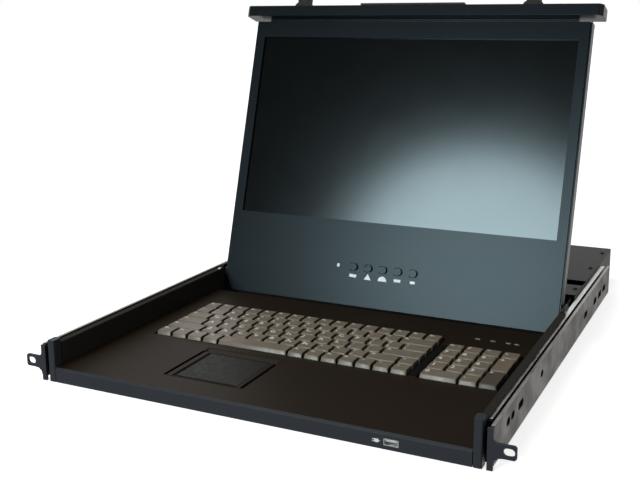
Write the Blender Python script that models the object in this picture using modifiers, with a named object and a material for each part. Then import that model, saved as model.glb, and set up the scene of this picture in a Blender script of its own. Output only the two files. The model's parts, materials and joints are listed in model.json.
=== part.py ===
"""A one-unit rack console drawer with a built-in keyboard, video and mouse switch.

The drawer is modelled at rest: pushed home between its rack rails, with the display
raised and leaning back. Dimensions are millimetres in the frame of the body that a part
belongs to: x to the right, y to the rear from the face of the front posts, z up from the
underside. The display's frame leans with it: x to the right, y into the panel from the
face of the bezel, z up the panel.
"""

from collections import namedtuple
from math import copysign, cos, pi, radians, sin

import bmesh
import bpy
from mathutils import Matrix, Vector

MM = 0.001
WELD = 0.000001
FRONT = -300.0  # world y of the face of the front posts
CLEAR = 0.3  # gap between pieces that touch
SHEET = 1.2  # thickness of the folded sheet

# Rack brackets and slides
EAR_TIP = 241.3
EAR_Z = (12.0, 24.0)
EAR_HOLE = (235.3, 18.0)
RAIL_OUTER = 222.8
RAIL_LIP = 219.9
RAIL_WALL = 1.5
RAIL_Z = (3.0, 36.5)
RAIL_Y = (3.0, 516.0)
RAIL_SLOTS = (  # y, z, half width, half height
    (44.0, 23.4, 5.2, 3.5), (58.0, 23.6, 5.2, 3.5), (84.0, 23.1, 8.5, 3.6),
    (160.0, 23.1, 5.0, 3.2), (367.0, 18.2, 9.0, 3.8), (422.0, 18.2, 9.5, 3.9),
    (451.0, 18.2, 10.0, 3.9), (479.5, 18.2, 10.0, 3.9),
)
BRACKET_INNER = 217.9
BRACKET_TOP = 35.5
BRACKET_WALL = 2.5
MIDDLE_X = (211.5, 216.4)
MIDDLE_Y = (18.0, 518.0)
MIDDLE_Z = (4.8, 35.0)
INNER_X = (208.8, 213.5)
INNER_Y = (15.0, 300.0)
INNER_Z = (9.0, 31.0)
SLIDE_WALL = 1.3

# Tray, posts and front lip
POST_X = (206.8, 214.4)
POST_DEPTH = 11.0
POST_TOP = 41.5
LIP_HALF = 206.5
LIP_TOP = 14.5
TRAY_WALL = 207.3
TRAY_WALL_Y = (11.3, 352.0)
TRAY_WALL_TOP = 37.2
TRAY_LIP = 214.4
TRAY_LIP_REAR = 302.0
TRAY_REAR = 592.0
USB = (138.9, 6.6)

# Keyboard deck
DECK_HALF = 206.9
DECK_Y = (3.0, 291.0)
DECK_Z = (13.0, 14.5)
LAMP_X = (136.0, 152.0, 168.0, 177.0)
LAMP_Y = (247.3, 251.1)
KEY_FRONT = 124.6
KEY_ROW = 18.45
KEY_UNIT = 18.87
MAIN_LEFT = -178.6
PAD_LEFT = 115.5
KEY_Z = (11.6, 17.8)
KEY_GAP = 0.5  # from a key's foot to the edge of its place
KEY_EDGE = 1.4  # from the outermost places to the deck
KEY_SLOPE = 1.2  # how far a key's top is set in from its foot
KEY_DISH = 0.7  # how far a key's top stands back from the middle of its foot
WEB_Z = (11.0, 12.2)
BASE_Z = (7.3, 12.7)

# Touchpad
TOUCH_X = (-103.8, -17.8)
TOUCH_Y = (30.2, 111.6)
TOUCH_PAD_X = (-92.9, -26.6)
TOUCH_PAD_Y = (34.2, 99.4)

# Rear module
CASE_HALF = 211.0
CASE_Y = (361.0, 594.0)
CASE_Z = (1.5, 38.0)
COVER_Z = (38.3, 39.5)
COVER_FRONT = 425.0
STRIP_Y = (364.0, 405.0)
PORT_X = (-92.0, -54.0, -16.0, 22.0, 60.0, 98.0, 136.0, 174.0)
PORT_Z = 20.0
INLET_X = -184.0
SWITCH_X = -146.0
ROCKER_AXIS = (591.5, 20.0)
ROCKER_TILT = 6.0
CHIPS = (  # x, y, half side
    (-90.0, 480.0, 14.0), (-30.0, 470.0, 11.0), (30.0, 500.0, 14.0),
    (90.0, 475.0, 11.0), (150.0, 495.0, 14.0),
)

# Display, in its own frame
LEAN = 17.3
PIVOT = (318.8, 31.0)
PIVOT_IN = 6.5
PIVOT_UP = 34.5
PANEL_HALF = 204.4
PANEL_Z = (12.7, 349.5)
CORNER = (11.0, 18.0)
BEZEL = 2.5
SCREEN_HALF = 193.7
SCREEN_Z = (111.0, 330.0)
SHELL_HALF = 206.3
SHELL_BACK = 15.0
BAR_HALF = 218.0
BAR_Y = (-10.5, 15.5)
BAR_Z = (353.8, 366.6)
BAR_CORNER = 4.0
BADGE_HALF = 64.0
BUTTON_X = (-36.2, -17.8, 0.5, 18.9, 37.4)
BUTTON_Z = 57.7
LIGHT_X = -55.4
LEG_X = 141.3
GRIP_TOP = 397.0
GRIP_Y = (-8.5, 2.5)
PIN_RADIUS = 4.5
PIN_END = 211.1

FINISHES = {  # colour, metallic, roughness
    "black steel": ((0.012, 0.012, 0.013), 0.0, 0.5),
    "grey steel": ((0.30, 0.29, 0.27), 0.9, 0.45),
    "zinc": ((0.62, 0.62, 0.60), 1.0, 0.3),
    "blue black": ((0.030, 0.036, 0.044), 0.2, 0.45),
    "deck black": ((0.016, 0.015, 0.014), 0.0, 0.55),
    "key grey": ((0.16, 0.145, 0.13), 0.0, 0.5),
    "plastic black": ((0.010, 0.010, 0.010), 0.0, 0.4),
    "screen": ((0.004, 0.005, 0.006), 0.0, 0.25),
    "chrome": ((0.75, 0.75, 0.74), 1.0, 0.15),
    "board green": ((0.01, 0.09, 0.03), 0.0, 0.5),
    "lamp": ((0.55, 0.60, 0.50), 0.0, 0.3),
}

# The turn that stands a flat outline across each axis, and that axis's index
TURNS = {
    "x": ((pi / 2, 0.0, pi / 2), 0),
    "y": ((pi / 2, 0.0, 0.0), 1),
    "z": ((0.0, 0.0, 0.0), 2),
}

# A body's empty, and the point of the body's coordinates that it stands on
Body = namedtuple("Body", "empty datum")


def body(name, location, datum=(0.0, 0.0, 0.0), lean=0.0):
    empty = bpy.data.objects.new(name, None)
    empty.location = Vector(location) * MM
    empty.rotation_euler.x = -radians(lean)
    parts.objects.link(empty)
    return Body(empty, Vector(datum) * MM)


def rectangle(u, v):
    """The outline of a rectangle from its two ranges."""
    return [(u[0], v[0]), (u[1], v[0]), (u[1], v[1]), (u[0], v[1])]


def rounded(u, v, radius, steps=4):
    """The outline of a rectangle with rounded corners."""
    centres = rectangle((u[0] + radius, u[1] - radius), (v[0] + radius, v[1] - radius))
    outline = []
    for quarter, (centre_u, centre_v) in enumerate(centres, 2):
        for step in range(steps + 1):
            angle = pi / 2 * (quarter + step / steps)
            outline.append((centre_u + radius * cos(angle), centre_v + radius * sin(angle)))
    return outline


def about(u, v, half_u, half_v, radius, steps=2):
    """The outline of a rounded rectangle about a centre."""
    return rounded((u - half_u, u + half_u), (v - half_v, v + half_v), radius, steps)


def both(side, outline):
    """An outline drawn for the right-hand side, on the side asked for."""
    return outline if side > 0 else [(-u, v) for u, v in outline]


def span(side, low, high):
    """A range of x drawn for the right-hand side, on the side asked for."""
    return (low, high) if side > 0 else (-high, -low)


def sided(name, side):
    return f"{name}_{'left' if side < 0 else 'right'}"


def mesh_of(shaped):
    mesh = bpy.data.meshes.new("shape")
    shaped.to_mesh(mesh)
    shaped.free()
    return mesh


def box(x, y, z, missing=()):
    """A box from its three ranges, less any face that looks in a missing direction."""
    centre = Vector([(low + high) / 2 for low, high in (x, y, z)]) * MM
    size = Vector([high - low for low, high in (x, y, z)]) * MM
    shaped = bmesh.new()
    bmesh.ops.create_cube(shaped, size=1.0, matrix=Matrix.LocRotScale(centre, None, size))
    shaped.normal_update()
    gone = [face for face in shaped.faces if any(face.normal.dot(Vector(way)) > 0.5 for way in missing)]
    bmesh.ops.delete(shaped, geom=gone, context="FACES")
    return mesh_of(shaped)


def rod(centre, radius, x):
    """A round bar along x, about a point of the plane across it."""
    middle = Vector(((x[0] + x[1]) / 2, *centre)) * MM
    turn = Matrix.LocRotScale(middle, Matrix.Rotation(pi / 2, 3, "Y"), None)
    shaped = bmesh.new()
    bmesh.ops.create_cone(
        shaped, cap_ends=True, segments=24, radius1=radius * MM, radius2=radius * MM,
        depth=(x[1] - x[0]) * MM, matrix=turn,
    )
    return mesh_of(shaped)


def slab(outline, axis, along, rounding=0.0):
    """A flat outline standing across an axis, filled between two distances along it."""
    curve = bpy.data.curves.new("outline", "CURVE")
    curve.dimensions = "2D"
    curve.fill_mode = "BOTH"
    curve.extrude = ((along[1] - along[0]) / 2 - rounding) * MM
    curve.bevel_depth = rounding * MM
    curve.bevel_resolution = 1
    curve.offset = -rounding * MM
    spline = curve.splines.new("POLY")
    spline.points.add(len(outline) - 1)
    for point, (u, v) in zip(spline.points, outline):
        point.co = (u * MM, v * MM, 0.0, 1.0)
    spline.use_cyclic_u = True
    drawn = bpy.data.objects.new("outline", curve)
    drawn.rotation_euler, index = TURNS[axis]
    drawn.location[index] = (along[0] + along[1]) / 2 * MM
    cutters.objects.link(drawn)
    graph = bpy.context.evaluated_depsgraph_get()
    filled = bpy.data.meshes.new_from_object(drawn.evaluated_get(graph))
    shaped = bmesh.new()
    shaped.from_mesh(filled)
    bmesh.ops.remove_doubles(shaped, verts=shaped.verts[:], dist=WELD)
    bmesh.ops.recalc_face_normals(shaped, faces=shaped.faces[:])
    bmesh.ops.transform(shaped, matrix=drawn.matrix_world, verts=shaped.verts[:])
    bpy.data.meshes.remove(filled)
    bpy.data.curves.remove(curve)
    return mesh_of(shaped)


def keycap(x, y):
    """A low key: a box whose top is drawn in on every side."""
    mesh = box((x[0] + KEY_GAP, x[1] - KEY_GAP), (y[0] + KEY_GAP, y[1] - KEY_GAP), KEY_Z)
    middle = Vector((x[0] + x[1], y[0] + y[1], KEY_Z[0] + KEY_Z[1])) * MM / 2
    for corner in mesh.vertices:
        out = corner.co - middle
        if out.z > 0:
            corner.co.x -= copysign(KEY_SLOPE, out.x) * MM
            corner.co.y -= (copysign(KEY_SLOPE, out.y) - KEY_DISH) * MM
    return mesh


def gather(name, shapes):
    """An object that holds the shapes, with its origin at their centre."""
    gathered = bmesh.new()
    for shape in shapes:
        gathered.from_mesh(shape)
        bpy.data.meshes.remove(shape)
    corners = [vert.co for vert in gathered.verts]
    low = Vector([min(corner[i] for corner in corners) for i in range(3)])
    high = Vector([max(corner[i] for corner in corners) for i in range(3)])
    centre = (low + high) / 2
    bmesh.ops.translate(gathered, verts=gathered.verts[:], vec=-centre)
    mesh = mesh_of(gathered)
    mesh.name = name
    made = bpy.data.objects.new(name, mesh)
    made.location = centre
    return made


def add(name, home, finish, shape):
    """A part of a body, with its own material."""
    part = gather(name, [shape])
    part.parent = home.empty
    part.matrix_parent_inverse = Matrix.Translation(-home.datum)
    part.data.shade_smooth()
    part.data.set_sharp_from_angle(angle=radians(35.0))
    colour, metallic, roughness = FINISHES[finish]
    coat = bpy.data.materials.new(f"{name} {finish}")
    coat.use_nodes = True
    surface = coat.node_tree.nodes["Principled BSDF"]
    surface.inputs["Base Color"].default_value = (*colour, 1.0)
    surface.inputs["Metallic"].default_value = metallic
    surface.inputs["Roughness"].default_value = roughness
    part.data.materials.append(coat)
    parts.objects.link(part)
    return part


def combine(part, operation, shapes):
    helper = gather(f"{part.name}_{operation.lower()}_{len(part.modifiers)}", shapes)
    helper.parent = part.parent
    helper.matrix_parent_inverse = part.matrix_parent_inverse
    helper.display_type = "WIRE"
    helper.hide_render = True
    cutters.objects.link(helper)
    boolean = part.modifiers.new(helper.name, "BOOLEAN")
    boolean.operation = operation
    boolean.object = helper


def cut(part, *shapes):
    combine(part, "DIFFERENCE", shapes)


def join(part, *shapes):
    combine(part, "UNION", shapes)


def thicken(part, thickness):
    """Gives an open surface its thickness, inwards."""
    wall = part.modifiers.new("wall", "SOLIDIFY")
    wall.thickness = thickness * MM
    wall.offset = -1.0
    wall.use_even_offset = True


def bevel(part, width):
    rounding = part.modifiers.new("edges", "BEVEL")
    rounding.width = width * MM
    rounding.segments = 1
    rounding.limit_method = "ANGLE"
    rounding.angle_limit = radians(40.0)


def channel(web, lip, z, wall):
    """The outline, across x and z, of a C-shaped section with its web at one x and its lips at another."""
    inside = web + copysign(wall, lip - web)
    return [
        (web, z[0]), (lip, z[0]), (lip, z[0] + wall), (inside, z[0] + wall),
        (inside, z[1] - wall), (lip, z[1] - wall), (lip, z[1]), (web, z[1]),
    ]


def make_rack_side(side):
    """The fixed outer rail and the front bracket with its ear."""
    section = both(side, channel(RAIL_OUTER, RAIL_LIP, RAIL_Z, RAIL_WALL))
    rail = add(sided("outer_rail", side), rack, "grey steel", slab(section, "y", RAIL_Y))
    across = span(side, RAIL_OUTER - 3.0, RAIL_OUTER + 3.0)
    cut(rail, *[
        slab(about(y, z, wide, high, min(wide, high) * 0.95, 4), "x", across)
        for y, z, wide, high in RAIL_SLOTS
    ])

    ear = [
        (BRACKET_INNER, 0.0), (RAIL_OUTER, 0.0), (RAIL_OUTER, 5.0), (224.0, 9.0), (227.0, 11.4),
        (231.0, EAR_Z[0]), (EAR_TIP - 1.5, EAR_Z[0]), (EAR_TIP, EAR_Z[0] + 1.5),
        (EAR_TIP, EAR_Z[1] - 1.5), (EAR_TIP - 1.5, EAR_Z[1]), (226.0, EAR_Z[1]),
        (RAIL_OUTER + 0.6, EAR_Z[1] + 1.6), (RAIL_OUTER, EAR_Z[1] + 4.0),
        (RAIL_OUTER, BRACKET_TOP), (BRACKET_INNER, BRACKET_TOP),
    ]
    face = slab(both(side, ear), "y", (0.0, BRACKET_WALL))
    bracket = add(sided("rack_bracket", side), rack, "blue black", face)
    join(bracket, box(span(side, 219.2, 221.0), (1.0, 66.0), (6.0, 33.5)))
    hole = about(*EAR_HOLE, 4.6, 3.3, 3.2, 6)
    cut(bracket, slab(both(side, hole), "y", (-5.0, 5.0)))
    cut(bracket, *[
        slab(about(y, z, wide, high, high, 4), "x", span(side, 215.0, 224.0))
        for y, z, wide, high in RAIL_SLOTS[:2]
    ])


def make_slides(side):
    """The sliding member between the rail and the drawer, and the one on the drawer."""
    section = both(side, channel(MIDDLE_X[1], MIDDLE_X[0], MIDDLE_Z, SLIDE_WALL))
    add(sided("middle_slide", side), slides, "zinc", slab(section, "y", MIDDLE_Y))
    section = both(side, channel(INNER_X[0], INNER_X[1], INNER_Z, SLIDE_WALL))
    add(sided("inner_slide", side), drawer, "zinc", slab(section, "y", INNER_Y))


def make_tray():
    """The pan with its two side walls, which turn outwards at the top."""
    half = TRAY_WALL + SHEET
    pan = box((-half, half), (POST_DEPTH + CLEAR, TRAY_REAR), (0.0, SHEET))
    tray = add("tray", drawer, "black steel", pan)
    lip_y = (TRAY_WALL_Y[0] + 0.5, TRAY_LIP_REAR)
    pivot_y = (PIVOT[0] - 7.5, PIVOT[0] + 7.5)
    for side in (-1, 1):
        join(tray, box(span(side, TRAY_WALL, half), TRAY_WALL_Y, (0.4, TRAY_WALL_TOP)))
        lip = span(side, TRAY_WALL + 0.4, TRAY_LIP)
        join(tray, box(lip, lip_y, (TRAY_WALL_TOP - SHEET, TRAY_WALL_TOP)))
        notch = span(side, TRAY_WALL - 2.0, TRAY_WALL + 4.0)
        cut(tray, box(notch, pivot_y, (PIVOT[1] - 9.0, TRAY_WALL_TOP + 5.0)))


def make_post(side):
    """A front post of the drawer, open at the back."""
    outline = rounded(span(side, *POST_X), (0.0, POST_DEPTH), 1.4, 3)
    post = add(sided("front_post", side), drawer, "blue black", slab(outline, "z", (0.0, POST_TOP)))
    hollow = span(side, POST_X[0] + 2.2, POST_X[1] - 2.0)
    cut(post, box(hollow, (2.2, POST_DEPTH + 3.0), (1.8, POST_TOP - 1.8)))


def make_front_lip():
    """The channel across the front: a ledge for the deck, a chamfered edge and the USB window."""
    section = [
        (0.3, 0.0), (9.9, 0.0), (9.9, 1.8), (2.3, 1.8), (2.3, 11.2), (9.9, 11.2), (9.9, 12.7),
        (2.7, 12.7), (2.7, LIP_TOP), (2.1, LIP_TOP), (0.3, LIP_TOP - 1.9),
    ]
    lip = add("front_lip", drawer, "blue black", slab(section, "x", (-LIP_HALF, LIP_HALF)))
    cut(lip, slab(about(*USB, 6.9, 3.2, 0.6), "y", (-4.0, 5.0)))

    x, z = USB
    shell = box((x - 6.6, x + 6.6), (0.0, 13.0), (z - 2.9, z + 2.9))
    socket = add("usb_socket", drawer, "chrome", shell)
    cut(socket, box((x - 6.0, x + 6.0), (-3.0, 9.0), (z - 2.3, z + 2.3)))
    join(socket, box((x - 5.0, x + 5.0), (1.2, 10.0), (z + 0.1, z + 1.6)))


def make_deck():
    """The plate around the keys and the touchpad, with a skirt along its rear edge."""
    deck = add("keyboard_deck", drawer, "deck black", box((-DECK_HALF, DECK_HALF), DECK_Y, DECK_Z))
    for side in (-1, 1):
        corner = (span(side, POST_X[0] - CLEAR, DECK_HALF + 3.0), (0.0, POST_DEPTH + CLEAR))
        cut(deck, box(*corner, (10.0, 20.0)))
    skirt = (DECK_Y[1] - SHEET, DECK_Y[1])
    join(deck, box((-DECK_HALF + 2.0, DECK_HALF - 2.0), skirt, (3.0, 14.0)))
    through = (0.0, 30.0)
    for left, units, rows in ((MAIN_LEFT, 15, 6), (PAD_LEFT, 4, 5)):
        x = (left - KEY_EDGE, left + units * KEY_UNIT + KEY_EDGE)
        y = (KEY_FRONT - KEY_EDGE, KEY_FRONT + rows * KEY_ROW + KEY_EDGE)
        cut(deck, slab(rectangle(x, y), "z", through))
    cut(deck, slab(rounded(TOUCH_X, TOUCH_Y, 1.5, 3), "z", through))
    windows = (LAMP_Y[0] - CLEAR, LAMP_Y[1] + CLEAR)
    cut(deck, *[slab(rounded((x - 3.4, x + 3.4), windows, 1.0, 2), "z", through) for x in LAMP_X])

    bar = box((LAMP_X[0] - 5.0, LAMP_X[-1] + 5.0), (LAMP_Y[0] - 2.3, LAMP_Y[1] + 2.3), (10.0, 12.6))
    lights = add("status_lights", drawer, "lamp", bar)
    join(lights, *[slab(rounded((x - 3.1, x + 3.1), LAMP_Y, 0.9, 2), "z", (12.0, 15.1)) for x in LAMP_X])


def make_keys(name, left, widths, rows):
    """A run of keys, as wide as given, with a thin web under them when there is more than one."""
    y = (KEY_FRONT + rows[0] * KEY_ROW, KEY_FRONT + rows[1] * KEY_ROW)
    edges = [left + KEY_UNIT * sum(widths[:count]) for count in range(len(widths) + 1)]
    caps = [keycap(x, y) for x in zip(edges, edges[1:])]
    if len(caps) == 1:
        add(name, drawer, "key grey", caps[0])
        return
    middle = sum(y) / 2
    web = box((left + KEY_GAP + 1.0, edges[-1] - KEY_GAP - 1.0), (middle - 3.0, middle + 3.0), WEB_Z)
    join(add(name, drawer, "key grey", web), *caps)


def make_keyboard():
    """The keys, and the shallow tub that they spring from."""
    make_keys("function_keys", MAIN_LEFT, [15 / 16] * 16, (5, 6))
    make_keys("number_keys", MAIN_LEFT, [1.0] * 13 + [2.0], (4, 5))
    make_keys("upper_keys", MAIN_LEFT, [1.5] + [1.0] * 12 + [1.5], (3, 4))
    make_keys("home_keys", MAIN_LEFT, [1.75] + [1.0] * 11 + [2.25], (2, 3))
    make_keys("lower_keys", MAIN_LEFT, [2.25] + [1.0] * 10 + [1.75, 1.0], (1, 2))
    make_keys("control_keys_left", MAIN_LEFT, [1.0] * 4, (0, 1))
    make_keys("space_bar", MAIN_LEFT + 4.0 * KEY_UNIT, [4.25], (0, 1))
    make_keys("control_keys_right", MAIN_LEFT + 8.25 * KEY_UNIT, [6.75 / 7] * 7, (0, 1))
    make_keys("pad_keys_1", PAD_LEFT, [1.0] * 4, (4, 5))
    for number in (2, 3, 4):
        make_keys(f"pad_keys_{number}", PAD_LEFT, [1.0] * 3, (5 - number, 6 - number))
    make_keys("pad_keys_5", PAD_LEFT, [2.0, 1.0], (0, 1))
    make_keys("plus_key", PAD_LEFT + 3 * KEY_UNIT, [1.0], (2, 4))
    make_keys("enter_key", PAD_LEFT + 3 * KEY_UNIT, [1.0], (0, 2))

    x = (MAIN_LEFT - 8.0, PAD_LEFT + 4 * KEY_UNIT + 7.0)
    y = (KEY_FRONT - 7.0, KEY_FRONT + 6 * KEY_ROW + 8.0)
    base = add("key_base", drawer, "plastic black", box(x, y, BASE_Z, missing=[(0, 0, 1)]))
    thicken(base, 1.3)


def make_touchpad():
    """The housing, the pad sunk in it and a button bar on each side."""
    x = (TOUCH_X[0] + CLEAR, TOUCH_X[1] - CLEAR)
    y = (TOUCH_Y[0] + CLEAR, TOUCH_Y[1] - CLEAR)
    block = slab(rounded(x, y, 1.3, 3), "z", (6.0, 14.6))
    housing = add("touchpad_frame", drawer, "deck black", block)
    cut(housing, box((x[0] + 0.9, x[1] - 0.9), (y[0] + 0.9, 100.2), (8.4, 20.0)))
    groove = (y[0] + 0.9, 100.2)
    cut(housing, box((x[0] - 2.0, x[1] + 2.0), groove, (12.6, 20.0)))
    ramp = [(99.0, 12.4), (y[1] - 1.0, 14.3), (y[1] - 1.0, 20.0), (99.0, 20.0)]
    cut(housing, slab(ramp, "x", (x[0] + 1.2, x[1] - 1.2)))
    pad = slab(rounded(TOUCH_PAD_X, TOUCH_PAD_Y, 1.0, 3), "z", (8.7, 13.6))
    add("touchpad", drawer, "plastic black", pad)
    bars = (
        ("touch_button_left", (x[0] + 2.6, TOUCH_PAD_X[0] - 1.9)),
        ("touch_button_right", (TOUCH_PAD_X[1] + 0.8, x[1] - 2.9)),
    )
    for name, across in bars:
        bevel(add(name, drawer, "deck black", box(across, (31.9, 99.2), (10.2, 14.4))), 0.5)


def make_hinge_bracket(side):
    """The plate outside the tray wall that the display's pin turns in."""
    y, z = PIVOT
    outline = [
        (y - 13.0, 8.0), (y + 13.0, 8.0), (y + 13.0, z + 3.0), (y + 7.0, z + 9.5),
        (y - 7.0, z + 9.5), (y - 13.0, z + 3.0),
    ]
    plate = slab(outline, "x", span(side, TRAY_WALL + SHEET + CLEAR, PIN_END))
    bracket = add(sided("hinge_bracket", side), drawer, "black steel", plate)
    cut(bracket, rod(PIVOT, PIN_RADIUS + CLEAR, span(side, 200.0, 220.0)))


def port(x, set_in=0.0):
    """The D shape of a video connector."""
    wide, narrow, high = 8.2 - set_in, 7.0 - set_in, 3.9 - set_in
    right = [(narrow, -high), (wide, high * 0.6), (wide - 0.6, high)]
    outline = right + both(-1, right[::-1])
    return [(x + u, PORT_Z + v) for u, v in outline]


def make_rear_case():
    """The switch's case behind the display, with its covers."""
    walls = box((-CASE_HALF, CASE_HALF), CASE_Y, CASE_Z, missing=[(0, 0, 1), (0, -1, 0)])
    case = add("rear_case", drawer, "black steel", walls)
    thicken(case, SHEET)
    through = (588.0, 599.0)
    cut(case, *[slab(about(x, PORT_Z, 15.6, 6.4, 1.0), "y", through) for x in PORT_X])
    cut(case, slab(about(INLET_X, 19.5, 14.0, 10.5, 1.0), "y", through))
    cut(case, slab(about(SWITCH_X, ROCKER_AXIS[1], 10.0, 7.0, 0.6), "y", through))

    width = (-CASE_HALF, CASE_HALF)
    add("rear_cover", drawer, "black steel", box(width, (COVER_FRONT, CASE_Y[1]), COVER_Z))
    strip = add("cable_cover", drawer, "black steel", box(width, STRIP_Y, COVER_Z))
    fold = (STRIP_Y[0], STRIP_Y[0] + SHEET)
    join(strip, box((-CASE_HALF + 3.0, CASE_HALF - 3.0), fold, (14.0, COVER_Z[1] - 0.4)))


def make_rear_parts():
    """The boards, the supply and the sockets inside the rear case."""
    board = add("switch_board", drawer, "board green", box((-118.0, 200.0), (440.0, 583.0), (7.0, 8.6)))
    join(board, *[box((x - s, x + s), (y - s, y + s), (8.0, 11.6)) for x, y, s in CHIPS])
    supply = box((-204.0, -128.0), (430.0, 560.0), (4.0, 33.0))
    bevel(add("power_supply", drawer, "grey steel", supply), 1.0)

    ends = (PORT_X[0] - 20.0, PORT_X[-1] + 20.0)
    bank = add("computer_ports", drawer, "chrome", box(ends, (585.0, 592.4), (10.0, 30.0)))
    join(bank, *[slab(about(x, PORT_Z, 15.3, 6.1, 0.9), "y", (591.0, 594.8)) for x in PORT_X])
    join(bank, *[slab(port(x), "y", (593.0, 600.0)) for x in PORT_X])
    cut(bank, *[slab(port(x, 0.6), "y", (595.0, 603.0)) for x in PORT_X])

    block = slab(about(INLET_X, 19.5, 13.7, 10.2, 0.9), "y", (572.0, 596.0))
    inlet = add("power_inlet", drawer, "plastic black", block)
    right = [(11.5, 11.5), (11.5, 23.0), (6.0, 27.6)]
    socket = [(INLET_X + u, v) for u, v in right + both(-1, right[::-1])]
    cut(inlet, slab(socket, "y", (580.0, 599.0)))
    join(inlet, *[
        box((INLET_X + x - 1.0, INLET_X + x + 1.0), (579.0, 592.0), (z - 2.0, z + 2.0))
        for x, z in ((-6.0, 17.0), (6.0, 17.0), (0.0, 22.0))
    ])


def make_power_switch():
    """The rocker, dished between its two ends and held on its axis by an empty."""
    outline = [(-0.5, -6.0), (3.4, -6.0), (2.5, 0.0), (3.4, 6.0), (-0.5, 6.0), (-2.5, 0.0)]
    face = [(ROCKER_AXIS[0] + u, ROCKER_AXIS[1] + v) for u, v in outline]
    add("power_switch", rocker, "plastic black", slab(face, "x", (SWITCH_X - 9.4, SWITCH_X + 9.4)))


def panel(half, z):
    """The panel's outline: square at the top, with its two lower corners cut off."""
    right = [(half - CORNER[0], z[0]), (half, z[0] + CORNER[1]), (half, z[1])]
    return right + both(-1, right[::-1])


def make_panel():
    """The bezel, the screen, the shell behind them and the board."""
    through = (-5.0, 8.0)
    bezel = add("bezel", display, "blue black", slab(panel(PANEL_HALF, PANEL_Z), "y", (0.0, BEZEL)))
    cut(bezel, box((-SCREEN_HALF, SCREEN_HALF), through, SCREEN_Z))
    holes = [about(x, BUTTON_Z, 6.0, 4.8, 4.7, 5) for x in BUTTON_X]
    holes.append(about(LIGHT_X, BUTTON_Z, 2.0, 2.5, 1.9, 4))
    cut(bezel, *[slab(hole, "y", through) for hole in holes])

    glass = ((-SCREEN_HALF - 3.0, SCREEN_HALF + 3.0), (BEZEL + CLEAR, 9.0))
    add("lcd_panel", display, "screen", box(*glass, (SCREEN_Z[0] - 3.0, SCREEN_Z[1] + 3.0)))

    outside = panel(SHELL_HALF, (PANEL_Z[0] - 0.3, PANEL_Z[1] + 0.5))
    shell = add("back_shell", display, "black steel", slab(outside, "y", (0.8, SHELL_BACK)))
    inside = panel(PANEL_HALF + CLEAR, (PANEL_Z[0] + 0.9, PANEL_Z[1] - 0.7))
    seat = panel(PANEL_HALF + CLEAR, (PANEL_Z[0] - 4.0, PANEL_Z[1] + 4.0))
    cut(shell, slab(inside, "y", (-4.0, SHELL_BACK - SHEET)))
    cut(shell, slab(seat, "y", (-4.0, BEZEL + CLEAR)))
    add("display_board", display, "board green", box((-90.0, 90.0), (9.6, 11.2), (24.0, 100.0)))


def make_panel_controls():
    """The power light and the five buttons under the screen."""
    lens = slab(about(LIGHT_X, BUTTON_Z, 1.7, 2.2, 1.65, 4), "y", (-0.2, 4.0))
    light = add("power_light", display, "lamp", lens)
    join(light, slab(about(LIGHT_X, BUTTON_Z, 3.0, 3.4, 2.9, 4), "y", (BEZEL + 0.4, 5.0)))
    for number, x in enumerate(BUTTON_X, 1):
        face = slab(about(x, BUTTON_Z, 5.1, 3.9, 3.8, 5), "y", (-2.6, 4.2))
        button = add(f"menu_button_{number}", display, "plastic black", face)
        join(button, box((x - 6.6, x + 6.6), (BEZEL + 0.5, 5.0), (BUTTON_Z - 5.4, BUTTON_Z + 5.4)))


def make_bar():
    """The bar across the top of the panel with its rib, badge plate and handle."""
    right = [
        (BAR_HALF - BAR_CORNER, BAR_Y[0]), (BAR_HALF, BAR_Y[0] + BAR_CORNER), (BAR_HALF, BAR_Y[1]),
    ]
    bar = add("top_bar", display, "blue black", slab(right + both(-1, right[::-1]), "z", BAR_Z))
    join(bar, box((-190.0, 190.0), (3.5, 13.5), (PANEL_Z[1] + 0.5 + CLEAR, BAR_Z[0] + 1.0)))
    cut(bar, box((-186.0, 186.0), (5.0, 12.0), (PANEL_Z[1] - 3.0, BAR_Z[1] - 2.0)))
    badge = box((-BADGE_HALF, BADGE_HALF), (-10.3, -4.0), (BAR_Z[1] + CLEAR, BAR_Z[1] + 2.4))
    add("badge_plate", display, "plastic black", badge)

    foot = BAR_Z[1] + CLEAR
    outer = [
        (LEG_X + 11.0, foot), (LEG_X + 10.4, foot + 2.2), (LEG_X + 7.5, foot + 4.2),
        (LEG_X + 7.5, GRIP_TOP - 8.0), (LEG_X - 1.0, GRIP_TOP),
    ]
    inner = [
        (LEG_X - 7.5, GRIP_TOP - 11.0), (LEG_X - 7.5, foot + 4.2), (LEG_X - 10.4, foot + 2.2),
        (LEG_X - 11.0, foot),
    ]
    outline = outer + both(-1, outer[::-1]) + both(-1, inner[::-1]) + inner
    add("carry_handle", display, "black steel", slab(outline, "y", GRIP_Y, 1.0))


def make_hinge_pin(side):
    """A pin of the display with its washer."""
    centre = (PIVOT_IN, PIVOT_UP)
    root = SHELL_HALF + CLEAR
    pin = add(sided("hinge_pin", side), display, "chrome", rod(centre, PIN_RADIUS, span(side, root, PIN_END)))
    join(pin, rod(centre, 6.0, span(side, root, root + 0.7)))


for leftover in list(bpy.data.objects):
    bpy.data.objects.remove(leftover)
parts = bpy.data.collections.new("rack_console")
cutters = bpy.data.collections.new("cutters")
bpy.context.scene.collection.children.link(parts)
bpy.context.scene.collection.children.link(cutters)

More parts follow.
